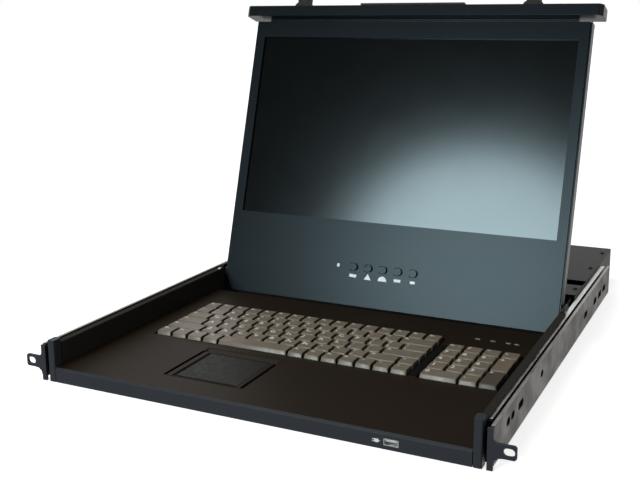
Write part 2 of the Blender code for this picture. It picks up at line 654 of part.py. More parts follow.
rack = body("rack_frame", (0.0, FRONT, 0.0))
slides = body("slide_frame", (0.0, FRONT, 0.0))
drawer = body("drawer_frame", (0.0, FRONT, 0.0))
display = body("display_axis", (0.0, FRONT + PIVOT[0], PIVOT[1]), (0.0, PIVOT_IN, PIVOT_UP), LEAN)
rocker_point = (SWITCH_X, ROCKER_AXIS[0], ROCKER_AXIS[1])
rocker = body("rocker_axis", (SWITCH_X, FRONT + ROCKER_AXIS[0], ROCKER_AXIS[1]), rocker_point, ROCKER_TILT)

for hand in (-1, 1):
    make_rack_side(hand)
    make_slides(hand)
    make_post(hand)
    make_hinge_bracket(hand)
    make_hinge_pin(hand)
make_tray()
make_front_lip()
make_deck()
make_keyboard()
make_touchpad()
make_rear_case()
make_rear_parts()
make_power_switch()
make_panel()
make_panel_controls()
make_bar()
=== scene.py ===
"""The looks of a one-unit rack console drawer with its keyboard, screen and built-in switch.

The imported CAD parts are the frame. They get procedural finishes and softened edges here, and
the keycaps, their legends, the screws, the sockets' insides and other fine pieces are made in
mesh code around them. Everything is in metres, in the frame's own axes.
"""

import json
from math import asin, cos, pi, radians, sin

import bmesh
import bpy
from mathutils import Matrix, Vector


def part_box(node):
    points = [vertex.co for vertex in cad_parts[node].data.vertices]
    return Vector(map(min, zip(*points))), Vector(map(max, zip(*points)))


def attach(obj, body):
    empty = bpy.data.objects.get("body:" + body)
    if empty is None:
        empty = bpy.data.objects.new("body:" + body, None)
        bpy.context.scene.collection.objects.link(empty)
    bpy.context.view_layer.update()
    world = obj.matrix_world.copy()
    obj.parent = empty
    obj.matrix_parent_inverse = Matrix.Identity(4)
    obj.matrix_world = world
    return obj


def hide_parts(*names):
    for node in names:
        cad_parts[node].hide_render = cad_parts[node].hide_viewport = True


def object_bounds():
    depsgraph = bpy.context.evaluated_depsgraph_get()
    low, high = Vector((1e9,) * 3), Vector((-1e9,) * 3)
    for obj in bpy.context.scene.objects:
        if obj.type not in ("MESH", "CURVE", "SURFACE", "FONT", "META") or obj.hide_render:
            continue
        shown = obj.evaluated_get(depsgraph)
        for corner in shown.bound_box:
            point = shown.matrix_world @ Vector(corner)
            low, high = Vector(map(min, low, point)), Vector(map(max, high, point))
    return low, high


MM = 0.001

# Camera: place in metres, turns in degrees, lens in millimetres
CAMERA_AT = (0.4026, -0.9689, 0.3492)
CAMERA_TURN = 25.84
CAMERA_DOWN = 12.38
CAMERA_ROLL = -0.34
LENS = 53.99
SHIFT = (-0.0037, -0.0324)

# The studio's light from in front, from behind and, added to them, from below
AMBIENT = (0.06, 0.72, 0.2)

# The range of object z, in metres, over which the rails' and slides' upper faces turn bright: a painted
# highlight laid on them
BRIGHT_ABOVE = (0.025, 0.030)

# Sizes in millimetres. A profile is pairs of a radius and a height, or of an inset and a height.
PRINT = 0.05
KEY_GAP = 0.65
KEY_SLOPE = 1.2
KEY_DISH = 0.45
KEY_BACK = 0.7
BASE_SHEET = 1.3
KEY_POST = ((3.6, 0.0), (2.6, 0.8), (2.4, 3.8), (1.9, 4.2))
HOMING_BAR = ((0.0, -0.3), (0.05, 0.2), (0.2, 0.32))
STATUS_LENS = ((0.0, -0.1), (0.05, 0.1), (0.3, 0.25), (0.9, 0.32))
STATUS_LIGHTS = (5.0, 21.0, 37.0, 46.0)
# Profile of the black strip between the main keys and the number pad, which is painted shade
GAP_SHADE_PROFILE = ((0.0, -0.3), (0.0, 0.05), (0.12, 0.15))
# The black strip inside each outer rail is painted shade
RAIL_SHADE_LINER = ((0.15, 8.0), (0.0, 8.2), (0.0, 28.8), (0.15, 29.0))
WALL_SPLICE = ((0.25, 1.6), (0.0, 1.9), (0.0, 35.7), (0.25, 36.0))
# The black stop block behind each post stands in for the shade under the slides: painted shade
SLIDE_SHADE_STOP = ((0.5, 0.0), (0.0, 0.4), (0.0, 2.6), (0.5, 3.0))
INLET_BLADE = ((0.0, 8.2), (0.0, 19.6), (0.5, 20.3))
CONTACT = ((0.42, 0.0), (0.42, 0.35), (0.2, 0.35), (0.2, 0.05))
CONTACT_PITCH = 2.29
JACK_SCREW = ((2.5, 0.0), (2.7, 0.3), (2.7, 4.2), (2.45, 4.6), (1.5, 4.6), (1.45, 2.0))
PORT_COUNT = 8
SIGN_SHIFT = 0.6
SIGN_DROP = 10.3
SIGN_SCALE = 1.18

# Each row's key widths in units and its legends, "upper|lower" where a key has two
KEYS = {
    "function_keys": (
        [15 / 16] * 16,
        "Esc F1 F2 F3 F4 F5 F6 F7 F8 F9 F10 F11 F12 Prt Brk Del",
    ),
    "number_keys": ([1.0] * 13 + [2.0], "~|` !|1 @|2 #|3 $|4 %|5 ^|6 &|7 *|8 (|9 )|0 _|- +|= Back"),
    "upper_keys": ([1.5] + [1.0] * 12 + [1.5], "Tab Q W E R T Y U I O P {|[ }|] ||\\"),
    "home_keys": ([1.75] + [1.0] * 11 + [2.25], "Caps A S D F G H J K L :|; \"|' Enter"),
    "lower_keys": ([2.25] + [1.0] * 10 + [1.75, 1.0], "Shift Z X C V B N M <|, >|. ?|/ Shift up"),
    "control_keys_left": ([1.0] * 4, "Ctrl Fn menu Alt"),
    "space_bar": ([4.25], "none"),
    "control_keys_right": ([6.75 / 7] * 7, "Alt Ctrl Ins End left down right"),
    "pad_keys_1": ([1.0] * 4, "Num / * -"),
    "pad_keys_2": ([1.0] * 3, "7 8 9"),
    "pad_keys_3": ([1.0] * 3, "4 5 6"),
    "pad_keys_4": ([1.0] * 3, "1 2 3"),
    "pad_keys_5": ([2.0, 1.0], "0 ."),
    "plus_key": ([1.0], "+"),
    "enter_key": ([1.0], "Ent"),
}

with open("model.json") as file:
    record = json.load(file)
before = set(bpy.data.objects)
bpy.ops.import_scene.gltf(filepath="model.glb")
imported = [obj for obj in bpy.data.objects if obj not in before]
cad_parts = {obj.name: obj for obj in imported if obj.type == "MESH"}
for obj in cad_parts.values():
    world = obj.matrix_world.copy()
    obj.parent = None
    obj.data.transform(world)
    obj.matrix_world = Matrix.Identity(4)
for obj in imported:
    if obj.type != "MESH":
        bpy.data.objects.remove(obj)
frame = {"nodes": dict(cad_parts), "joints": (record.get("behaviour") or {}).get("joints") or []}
cad_low, cad_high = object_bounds()
nodes = frame["nodes"]


# ---------------------------------------------------------------- finishes

class Finish:
    """A Principled material whose detail comes from noise in the object's own coordinates."""

    def __init__(self, name, metallic=0.0, gloss=0.5, sheen=(1.0, 1.0, 1.0)):
        self.material = bpy.data.materials.new(name)
        self.material.use_nodes = True
        self.tree = self.material.node_tree
        self.surface = self.tree.nodes["Principled BSDF"]
        self.place = self.node("ShaderNodeTexCoord").outputs["Object"]
        self.set("Metallic", metallic)
        self.set("Specular IOR Level", gloss)
        self.set("Specular Tint", rgb(*sheen))

    def node(self, kind, inputs=None, **settings):
        made = self.tree.nodes.new(kind)
        for name, value in settings.items():
            setattr(made, name, value)
        for key, value in (inputs or {}).items():
            self.feed(made.inputs[key], value)
        return made

    def feed(self, socket, value):
        if isinstance(value, bpy.types.NodeSocket):
            self.tree.links.new(value, socket)
        else:
            socket.default_value = value

    def set(self, name, value):
        self.feed(self.surface.inputs[name], value)

    def noise(self, size, stretch=(1.0, 1.0, 1.0), detail=2.0):
        """Noise from 0 to 1, with features about size millimetres across."""
        mapped = self.node("ShaderNodeMapping", {"Vector": self.place, "Scale": stretch})
        made = self.node(
            "ShaderNodeTexNoise",
            {"Vector": mapped.outputs[0], "Scale": 1.0 / (size * MM), "Detail": detail},
        )
        return made.outputs[0]

    def spread(self, value, low, high, start=0.35, stop=0.65):
        inputs = {"Value": value, "From Min": start, "From Max": stop, "To Min": low, "To Max": high}
        return self.node("ShaderNodeMapRange", inputs).outputs[0]

    def blend(self, share, first, second):
        inputs = {0: share, 6: first, 7: second}
        return self.node("ShaderNodeMix", inputs, data_type="RGBA").outputs[2]

    def bump(self, height, distance, under=None):
        inputs = {"Height": height, "Distance": distance * MM, "Strength": 1.0}
        if under is not None:
            inputs["Normal"] = under
        return self.node("ShaderNodeBump", inputs).outputs[0]


def rgb(red, green, blue):
    return (red, green, blue, 1.0)


def powder_coat(name, colour, tint, roughness, grain=0.9, depth=0.05, gloss=0.5, sheen=(1.0, 1.0, 1.0)):
    """Sprayed and baked paint: a fine grain over a faint orange peel, with broad changes of tone."""
    finish = Finish(name, 0.0, gloss, sheen)
    broad = finish.spread(finish.noise(90.0, detail=3.0), 0.0, 1.0)
    speck = finish.spread(finish.noise(grain * 1.7), 0.0, 0.35, 0.55, 0.75)
    toned = finish.blend(broad, colour, tint)
    lighter = tuple(min(1.0, part * 1.9 + 0.004) for part in colour[:3]) + (1.0,)
    finish.set("Base Color", finish.blend(speck, toned, lighter))
    finish.set("Roughness", finish.spread(finish.noise(3.0), roughness - 0.006, roughness + 0.006))
    peel = finish.bump(finish.noise(4.0), depth)
    finish.set("Normal", finish.bump(finish.noise(grain, detail=3.0), depth, peel))
    return finish.material


def plated(name, colour, tint, roughness, along="y", streak=0.03, top=None):
    """Rolled and plated metal, with fine streaks along one axis and dull patches.

    With top, the faces that look up have that colour, from the height BRIGHT_ABOVE: a painted highlight,
    not the metal's own colour.
    """
    finish = Finish(name, 1.0)
    stretch = [1.0, 1.0, 1.0]
    stretch["xyz".index(along)] = 0.03
    streaks = finish.noise(0.9, stretch, 3.0)
    patches = finish.noise(26.0, detail=4.0)
    toned = finish.blend(finish.spread(patches, 0.0, 1.0, 0.4, 0.7), colour, tint)
    dark = tuple(part * 0.72 for part in colour[:3]) + (1.0,)
    streaked = finish.blend(finish.spread(streaks, 0.0, 0.6, 0.45, 0.75), toned, dark)
    # Painted highlight: upward faces high on the part are blended to the top colour
    if top:
        way = finish.node("ShaderNodeTexCoord").outputs["Normal"]
        up = finish.node("ShaderNodeSeparateXYZ", {0: way}).outputs["Z"]
        height = finish.node("ShaderNodeSeparateXYZ", {0: finish.place}).outputs["Z"]
        highlight_facing = finish.spread(up, 0.0, 1.0, 0.4, 0.8)
        high = finish.spread(height, 0.0, 1.0, *BRIGHT_ABOVE)
        share = finish.node("ShaderNodeMath", {0: highlight_facing, 1: high}, operation="MULTIPLY").outputs[0]
        streaked = finish.blend(share, streaked, top)
    finish.set("Base Color", streaked)
    finish.set("Roughness", finish.spread(patches, roughness - 0.06, roughness + 0.1))
    finish.set("Normal", finish.bump(streaks, streak))
    return finish.material


def moulded(name, colour, tint, roughness, grain=0.5, depth=0.02, gloss=0.5):
    """Injection-moulded plastic with a fine spark-eroded texture."""
    finish = Finish(name, 0.0, gloss)
    broad = finish.spread(finish.noise(12.0, detail=3.0), 0.0, 1.0)
    finish.set("Base Color", finish.blend(broad, colour, tint))
    finish.set("Roughness", finish.spread(finish.noise(5.0), roughness - 0.05, roughness + 0.06))
    finish.set("Normal", finish.bump(finish.noise(grain, detail=3.0), depth))
    return finish.material


def screen_glass():
    """The display's anti-glare front, black when it is off."""
    finish = Finish("screen", 0.0, 0.5, (0.79, 0.95, 1.0))
    smear = finish.spread(finish.noise(45.0, (1.0, 1.0, 2.0), 3.0), 0.0, 1.0)
    finish.set("Base Color", finish.blend(smear, rgb(0.0016, 0.0018, 0.0020), rgb(0.0024, 0.0026, 0.0028)))
    finish.set("Roughness", finish.spread(finish.noise(30.0), 0.153, 0.161))
    finish.set("Normal", finish.bump(finish.noise(0.35), 0.001))
    return finish.material


def circuit_board():
    """Green solder mask over branching copper tracks."""
    finish = Finish("board green", 0.0, 0.5)
    cells = finish.node(
        "ShaderNodeTexVoronoi",
        {"Vector": finish.place, "Scale": 220.0},
        distance="MANHATTAN", feature="F1",
    ).outputs["Distance"]
    track = finish.spread(cells, 0.0, 1.0, 0.42, 0.47)
    finish.set("Base Color", finish.blend(track, rgb(0.006, 0.06, 0.02), rgb(0.012, 0.13, 0.045)))
    finish.set("Roughness", finish.spread(finish.noise(9.0), 0.3, 0.42))
    finish.set("Normal", finish.bump(track, 0.03))
    return finish.material


def lens(name, colour, tint):
    """A clear moulded light pipe, unlit."""
    finish = Finish(name, 0.0, 0.6)
    cloud = finish.spread(finish.noise(1.6, detail=3.0), 0.0, 1.0)
    finish.set("Base Color", finish.blend(cloud, colour, tint))
    finish.set("Roughness", finish.spread(finish.noise(3.0), 0.18, 0.3))
    finish.set("Normal", finish.bump(finish.noise(0.8), 0.02))
    finish.set("Coat Weight", 0.5)
    return finish.material


FINISHES = {
    "black_steel": powder_coat(
        "black steel", rgb(0.021, 0.0205, 0.0195), rgb(0.025, 0.0245, 0.0235), 0.5, gloss=0.25,
    ),
    "tray_black": powder_coat(
        "tray black", rgb(0.030, 0.028, 0.025), rgb(0.034, 0.032, 0.029), 0.72,
        gloss=0.05, sheen=(0.9, 0.75, 0.6),
    ),
    "blue_black": powder_coat("blue black", rgb(0.024, 0.027, 0.034), rgb(0.027, 0.030, 0.037), 0.46),
    "panel_black": powder_coat(
        "panel black", rgb(0.0085, 0.0105, 0.013), rgb(0.010, 0.012, 0.0145), 0.285,
        depth=0.006, gloss=0.22, sheen=(0.72, 0.93, 1.0),
    ),
    "deck_black": powder_coat(
        "deck black", rgb(0.013, 0.0078, 0.0036), rgb(0.015, 0.0094, 0.0048), 0.49,
        0.7, 0.03, 0.22, (0.92, 0.80, 0.64),
    ),
    # The top colours of grey steel and slide zinc are painted highlights on their upper faces
    "grey_steel": plated(
        "grey steel", rgb(0.152, 0.147, 0.135), rgb(0.118, 0.112, 0.101), 0.5,
        top=rgb(0.52, 0.51, 0.48),
    ),
    "slide_zinc": plated(
        "slide zinc", rgb(0.10, 0.098, 0.09), rgb(0.07, 0.068, 0.062), 0.4,
        top=rgb(0.95, 0.95, 0.93),
    ),
    "zinc": plated("zinc", rgb(0.90, 0.90, 0.88), rgb(0.80, 0.80, 0.77), 0.24),
    "chrome": plated("chrome", rgb(0.75, 0.75, 0.74), rgb(0.68, 0.68, 0.66), 0.16, "x", 0.008),
    "alloy_case": plated("alloy case", rgb(0.58, 0.58, 0.57), rgb(0.50, 0.50, 0.49), 0.36, "x"),
    "key_grey": moulded("key grey", rgb(0.215, 0.179, 0.138), rgb(0.250, 0.209, 0.163), 0.34),
    "key_dark": moulded("key dark", rgb(0.090, 0.071, 0.052), rgb(0.106, 0.085, 0.063), 0.42),
    "key_beige": moulded("key beige", rgb(0.215, 0.168, 0.120), rgb(0.238, 0.188, 0.136), 0.42),
    # Painted shade: the keys' steep sides and undersides are drawn darker than their tops
    "key_side_shade": moulded("key side shade", rgb(0.028, 0.022, 0.017), rgb(0.034, 0.028, 0.022), 0.5, gloss=0.3),
    "legend": moulded("legend", rgb(0.95, 0.92, 0.85), rgb(0.88, 0.85, 0.78), 0.4, 0.3, 0.005),
    "plastic_black": moulded("plastic black", rgb(0.012, 0.012, 0.012), rgb(0.017, 0.016, 0.016), 0.4),
    "rubber": moulded(
        "rubber", rgb(0.0035, 0.0035, 0.0032), rgb(0.0050, 0.0050, 0.0046), 0.75, 0.6, 0.01, 0.12,
    ),
    "pad_black": moulded(
        "pad black", rgb(0.011, 0.011, 0.010), rgb(0.014, 0.014, 0.012), 0.48, 0.4, 0.01, 0.24,
    ),
    "board_green": circuit_board(),
    "screen": screen_glass(),
    "print_white": moulded("print white", rgb(0.97, 0.98, 1.0), rgb(0.92, 0.94, 0.96), 0.3, 0.3, 0.005),
    "tin": plated("tin", rgb(0.96, 0.96, 0.94), rgb(0.88, 0.88, 0.86), 0.5, "x", 0.008),
    "lamp": lens("lamp", rgb(0.085, 0.080, 0.066), rgb(0.066, 0.062, 0.052)),
    "lamp_white": lens("lamp white", rgb(0.85, 0.85, 0.80), rgb(0.75, 0.76, 0.72)),
    "lamp_red": lens("lamp red", rgb(0.085, 0.028, 0.012), rgb(0.065, 0.022, 0.010)),
}


# ---------------------------------------------------------------- geometry

def lean_of_display():
    """How far the display leans back: its buttons travel square to its face."""
    axis = next(j["axis"] for j in frame["joints"] if j["name"] == "press_menu_button_1")
    return asin(-axis[2])


HINGE = Vector(next(j["pos_m"] for j in frame["joints"] if j["name"] == "display_tilt"))
PANEL = Matrix.Translation(HINGE) @ Matrix.Rotation(-lean_of_display(), 4, "X")


def panel_box(name):
    """A display node's lowest and highest corner in the display's own leaning axes, from its hinge."""
    inward = PANEL.inverted()
    points = [inward @ corner.co for corner in nodes[name].data.vertices]
    low = Vector([min(point[i] for point in points) for i in range(3)])
    high = Vector([max(point[i] for point in points) for i in range(3)])
    return low, high


def ring(x, y, height, radius, steps=3):
    """The points of a rounded rectangle. Height is a number, or a function of x and y."""
    corners = ((x[0], y[0], 2), (x[1], y[0], 3), (x[1], y[1], 0), (x[0], y[1], 1))
    points = []
    for corner_x, corner_y, quarter in corners:
        centre_x = corner_x + (radius if corner_x == x[0] else -radius)
        centre_y = corner_y + (radius if corner_y == y[0] else -radius)
        for step in range(steps + 1):
            angle = pi / 2 * (quarter + step / steps)
            px, py = centre_x + radius * cos(angle), centre_y + radius * sin(angle)
            points.append(Vector((px, py, height(px, py) if callable(height) else height)))
    return points


def circle(centre, radius, height, count=20, start=0.0):
    return [
        Vector((
            centre[0] + radius * cos(start + 2 * pi * i / count),
            centre[1] + radius * sin(start + 2 * pi * i / count),
            height,
        ))
        for i in range(count)
    ]


def stepped(x, y, base, profile, radius, steps=3):
    """Rounded rectangles up a profile of insets and heights."""
    return [
        ring(inset(x, less * MM), inset(y, less * MM), base + height * MM, radius, steps)
        for less, height in profile
    ]


def turned(centre, base, profile, count, start=0.0):
    """Circles up a profile of radii and heights."""
    return [circle(centre, radius * MM, base + height * MM, count, start) for radius, height in profile]


def skin(shaped, rings, place=None, closed=False):
    """Skins rings of as many points each. Closed, the last is joined back to the first."""
    rows = [[shaped.verts.new(place @ point if place else point) for point in points] for points in rings]
    count = len(rows[0])
    for lower, upper in zip(rows, rows[1:] + (rows[:1] if closed else [])):
        for i in range(count):
            j = (i + 1) % count
            shaped.faces.new((lower[i], lower[j], upper[j], upper[i]))
    return rows


def loft(shaped, rings, place=None):
    """A closed solid skinned over rings, capped at both ends."""
    rows = skin(shaped, rings, place)
    shaped.faces.new(rows[0][::-1])
    shaped.faces.new(rows[-1])


def band(shaped, outer, inner, place=None):
    """A flat printed ring between two outlines of as many points each."""
    rise = Vector((0.0, 0.0, PRINT * MM))
    rows = [outer, [p + rise for p in outer], [p + rise for p in inner], inner]
    skin(shaped, rows, place, closed=True)


def mark(shaped, outline, place):
    """A printed shape, from points in millimetres in the place's own x and y."""
    flat = []
    for u, v in outline:
        point = Vector((u * MM, v * MM, 0.0))
        if not flat or (point - flat[-1]).length > 0.01 * MM:
            flat.append(point)
    if (flat[0] - flat[-1]).length < 0.01 * MM:
        flat.pop()
    loft(shaped, [flat, [point + Vector((0, 0, PRINT * MM)) for point in flat]], place)


def inset(span, by):
    return (span[0] + by, span[1] - by)


def mesh_from(name, shaped):
    """A new mesh from a bmesh, which is used up."""
    mesh = bpy.data.meshes.new(name)
    shaped.to_mesh(mesh)
    shaped.free()
    return mesh


def piece(name, shaped, finish, body, replaces=()):
    """A finished piece from a bmesh, riding on a body."""
    bmesh.ops.recalc_face_normals(shaped, faces=shaped.faces[:])
    mesh = mesh_from(name, shaped)
    mesh.shade_smooth()
    mesh.set_sharp_from_angle(angle=radians(38.0))
    made = bpy.data.objects.new(name, mesh)
    bpy.context.scene.collection.objects.link(made)
    for material in finish if isinstance(finish, (list, tuple)) else [finish]:
        mesh.materials.append(FINISHES[material])
    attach(made, body)
    if replaces:
        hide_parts(*replaces)
    return made


_glyphs = {}


def glyph(text, size):
    """The mesh of a line of text, lying flat with its lower left corner at the origin."""
    if (text, size) not in _glyphs:
        curve = bpy.data.curves.new("text", "FONT")
        curve.body = text
        curve.size = size
        curve.extrude = 0.02 * MM
        curve.offset = 0.030 * size
        curve.resolution_u = 2
        drawn = bpy.data.objects.new("text", curve)
        bpy.context.scene.collection.objects.link(drawn)
        graph = bpy.context.evaluated_depsgraph_get()
        _glyphs[text, size] = bpy.data.meshes.new_from_object(drawn.evaluated_get(graph))
        bpy.data.objects.remove(drawn)
        bpy.data.curves.remove(curve)
    return _glyphs[text, size]


def stamp(shaped, mesh, place):
    """Adds a copy of a mesh, moved into place, and gives its new vertices."""
    before = len(shaped.verts)
    shaped.from_mesh(mesh)
    shaped.verts.ensure_lookup_table()
    added = shaped.verts[before:]
    bmesh.ops.transform(shaped, matrix=place, verts=added)
    return added


# ---------------------------------------------------------------- keys

def key_top(x, y, top):
    """The height of a key's hollowed top: a shallow trough that runs front to back."""
    middle, half = (x[0] + x[1]) / 2, (x[1] - x[0]) / 2
    flank = min(half, 7.0 * MM)

    def height(px, _):
        edge = half - min(abs(px - middle), half - 0.3 * MM)
        return top - KEY_DISH * MM * (1.0 - max(0.0, 1.0 - edge / flank) ** 2)

    return height


def keycap(shaped, x, y, z):
    """A hollow keycap with sloping sides, rounded edges and a hollowed top. Gives its top's place."""
    back = KEY_BACK * MM
    top_x = inset(x, KEY_SLOPE * MM)
    top_y = (y[0] + KEY_SLOPE * MM + back, y[1] - KEY_SLOPE * MM + back)
    height = key_top(top_x, top_y, z[1])
    middle_y = (top_y[0] + top_y[1]) / 2
    rings = [
        ring(inset(x, 2.6 * MM), (y[0] + 3.2 * MM, y[1] - 2.2 * MM), z[0] + 4.2 * MM, 0.8 * MM),
        ring(inset(x, 1.2 * MM), inset(y, 1.2 * MM), z[0], 0.6 * MM),
        ring(x, y, z[0], 0.9 * MM),
        ring(inset(x, 0.1 * MM), inset(y, 0.1 * MM), z[0] + 0.9 * MM, 1.0 * MM),
        ring(inset(top_x, -0.35 * MM), inset(top_y, -0.35 * MM), z[1] - 0.75 * MM, 1.5 * MM),
        ring(inset(top_x, 0.0), inset(top_y, 0.0), z[1] - 0.22 * MM, 1.6 * MM),
        ring(inset(top_x, 0.5 * MM), inset(top_y, 0.5 * MM), height, 1.5 * MM),
        ring(inset(top_x, 2.2 * MM), inset(top_y, 2.2 * MM), height, 1.2 * MM),
        ring(inset(top_x, 4.4 * MM), (middle_y - 1.4 * MM, middle_y + 1.4 * MM), height, 0.8 * MM),
    ]
    loft(shaped, rings)
    return top_x, top_y, height


def homing_bar(shaped, top_x, top_y, height):
    """The small bar that a finger finds on the F, the J and the 5."""
    middle = (top_x[0] + top_x[1]) / 2
    across, along = (middle - 1.9 * MM, middle + 1.9 * MM), (top_y[0] + 1.6 * MM, top_y[0] + 2.3 * MM)
    loft(shaped, stepped(across, along, height(middle, 0.0), HOMING_BAR, 0.2 * MM, 2))


def arrow(way):
    """A small solid arrowhead about the origin."""
    turn = {"right": 0.0, "up": pi / 2, "left": pi, "down": -pi / 2}[way]
    shaped = bmesh.new()
    outline = [
        Vector((1.5 * MM * cos(turn + angle), 1.5 * MM * sin(turn + angle), -0.02 * MM))
        for angle in (0.0, 2.3, -2.3)
    ]
    loft(shaped, [outline, [point + Vector((0.0, 0.0, 0.04 * MM)) for point in outline]])
    return mesh_from("arrow", shaped)


def write_legend(shaped, word, top_x, top_y, height):
    """A key's legend, printed near the top's upper left corner and following its hollow."""
    if word == "none":
        return
    left, upper = top_x[0] + 1.3 * MM, top_y[1] - 1.2 * MM
    if word in ("up", "down", "left", "right"):
        places = [(arrow(word), left + 1.8 * MM, upper - 2.6 * MM)]
    elif word == "menu":
        bars = bmesh.new()
        for low in (0.0, 1.3, 2.6):
            across, along = (0.0, 3.4 * MM), (low * MM, (low + 0.5) * MM)
            loft(bars, [ring(across, along, z * MM, 0.1 * MM, 1) for z in (-0.02, 0.02)])
        places = [(mesh_from("menu", bars), left, upper - 3.4 * MM)]
    elif len(word) == 3 and word[1] == "|":
        places = [
            (glyph(word[0], 5.2 * MM), left, upper - 3.8 * MM),
            (glyph(word[2], 5.2 * MM), left, top_y[0] + 1.5 * MM),
        ]
    else:
        size = 8.6 if len(word) == 1 else 4.8
        places = [(glyph(word, size * MM), left, upper - size * 0.74 * MM)]
    for mesh, x, y in places:
        for point in stamp(shaped, mesh, Matrix.Translation((x, y, 0.0))):
            point.co.z += height(point.co.x, point.co.y) + 0.035 * MM


def make_keyboard():
    """Every row's keycaps and legends, and the posts that guide them."""
    posts = bmesh.new()
    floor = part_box("key_base")[0].z + BASE_SHEET * MM
    for row, (widths, words) in KEYS.items():
        low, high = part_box(row)
        y, z = (low.y, high.y), (low.z, high.z)
        gap = KEY_GAP * MM
        unit = (high.x - low.x + 2 * gap) / sum(widths)
        caps, legends = bmesh.new(), bmesh.new()
        for count, (width, word) in enumerate(zip(widths, words.split())):
            left = low.x - gap + unit * sum(widths[:count])
            x = (left + gap, left + width * unit - gap)
            top = keycap(caps, x, y, z)
            if word in ("F", "J", "5"):
                homing_bar(caps, *top)
            write_legend(legends, word, *top)
            centre = ((x[0] + x[1]) / 2, (y[0] + y[1]) / 2)
            loft(posts, turned(centre, floor, KEY_POST, 12))
        # The steep left and right sides and the undersides of each cap get the second, darker finish:
        # painted shade
        for face in caps.faces:
            face.normal_update()
            face.material_index = int(abs(face.normal.x) > 0.75 or face.normal.z < -0.3)
        finish = {"enter_key": "key_dark", "plus_key": "key_beige"}.get(row, "key_grey")
        piece(f"{row}_caps", caps, [finish, "key_side_shade"], f"{row}_body", [row])
        if legends.faces:
            piece(f"{row}_legends", legends, "legend", f"{row}_body")
        else:
            legends.free()
    piece("key_posts", posts, "plastic_black", "drawer")


# ---------------------------------------------------------------- fasteners

def screw_mesh(radius, rise):
    """A pan-head screw with a cross recess, standing on the origin along z."""
    head, cross = bmesh.new(), bmesh.new()
    profile = [(1.0, 0.0), (1.0, 0.35), (0.93, 0.62), (0.75, 0.86), (0.45, 1.0)]
    loft(head, [circle((0, 0), radius * r, rise * h, 24) for r, h in profile])
    long, short = radius * 1.24, radius * 0.3
    for size_x, size_y in ((long, short), (short, long)):
        size = Vector((size_x, size_y, rise * 1.2))
        place = Matrix.LocRotScale(Vector((0, 0, rise * 1.05)), None, size)
        bmesh.ops.create_cube(cross, size=1.0, matrix=place)
    made = []
    for shaped in (head, cross):
        bmesh.ops.recalc_face_normals(shaped, faces=shaped.faces[:])
        made.append(bpy.data.objects.new("screw", mesh_from("screw", shaped)))
        bpy.context.scene.collection.objects.link(made[-1])
    recess = made[0].modifiers.new("recess", "BOOLEAN")
    recess.object = made[1]
    recess.use_self = True
    graph = bpy.context.evaluated_depsgraph_get()
    mesh = bpy.data.meshes.new_from_object(made[0].evaluated_get(graph))
    for helper in made:
        bpy.data.objects.remove(helper)
    return mesh


def screws(name, mesh, finish, body, places):
    """A set of equal screws. A place is a point and the way the head faces."""
    shaped = bmesh.new()
    for count, (point, way) in enumerate(places):
        turn = Vector((0, 0, 1)).rotation_difference(Vector(way)).to_matrix().to_4x4()
        spin = Matrix.Rotation(0.7 * count, 4, "Z")
        stamp(shaped, mesh, Matrix.Translation(point) @ turn @ spin)
    return piece(name, shaped, finish, body)


def make_screws():
    small = screw_mesh(2.6 * MM, 1.3 * MM)
    low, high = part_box("rear_cover")
    up = (0.0, 0.0, 1.0)
    x_places = [low.x + 6 * MM, low.x * 0.34, high.x * 0.34, high.x - 6 * MM]
    y_places = [low.y + 60 * MM, high.y - 29 * MM]
    places = [(Vector((x, y, high.z)), up) for x in x_places for y in y_places]
    screws("cover_screws", small, "black_steel", "drawer", places)
    low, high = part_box("cable_cover")
    y = low.y + 25 * MM
    places = [(Vector((x, y, high.z)), up) for x in (low.x + 5 * MM, 0.0, high.x - 5 * MM)]
    screws("strip_screws", small, "black_steel", "drawer", places)

    low, high = panel_box("back_shell")
    outward = PANEL.to_3x3() @ Vector((0, 1, 0))
    places = []
    for x in (low.x + 9 * MM, 0.0, high.x - 9 * MM):
        for z in (low.z + 30 * MM, (low.z + high.z) / 2, high.z - 9 * MM):
            if x or z != (low.z + high.z) / 2:
                places.append((PANEL @ Vector((x, high.y, z)), outward))
    screws("shell_screws", small, "black_steel", "display", places)

    rail_screw = screw_mesh(3.0 * MM, 0.9 * MM)
    for side, name in ((-1, "left"), (1, "right")):
        low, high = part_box(f"hinge_bracket_{name}")
        face = high.x if side > 0 else low.x
        way = (float(side), 0.0, 0.0)
        places = [(Vector((face, (low.y + high.y) / 2 + dy * MM, low.z + 5 * MM)), way) for dy in (-8, 8)]
        screws(f"hinge_screws_{name}", rail_screw, "zinc", "drawer", places)


# ---------------------------------------------------------------- printed signs and fittings

